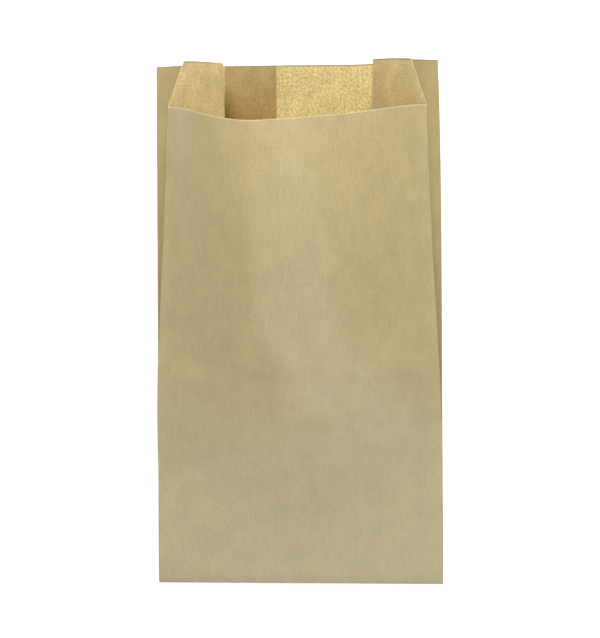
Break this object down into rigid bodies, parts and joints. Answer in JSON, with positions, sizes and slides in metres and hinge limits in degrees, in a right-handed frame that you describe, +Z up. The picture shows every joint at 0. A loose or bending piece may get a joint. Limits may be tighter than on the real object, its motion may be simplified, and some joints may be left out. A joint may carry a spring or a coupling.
{
  "type": "kraft paper bag",
  "caption": "Flat kraft paper bag with side gussets and a stepped mouth, lying on its back and partly opened.",
  "frame": {"origin": "centre of the bag's overall box, at the height of the surface it lies on", "axes": "+X to the bag's right seen from above, +Y towards the mouth, +Z up from the back panel to the front panel"},
  "size_m": [0.1203, 0.2185, 0.0596],
  "materials": {
    "kraft_paper": "matte"
  },
  "bodies": {
    "root": {"bag": "kraft_paper"}
  },
  "joints": []
}
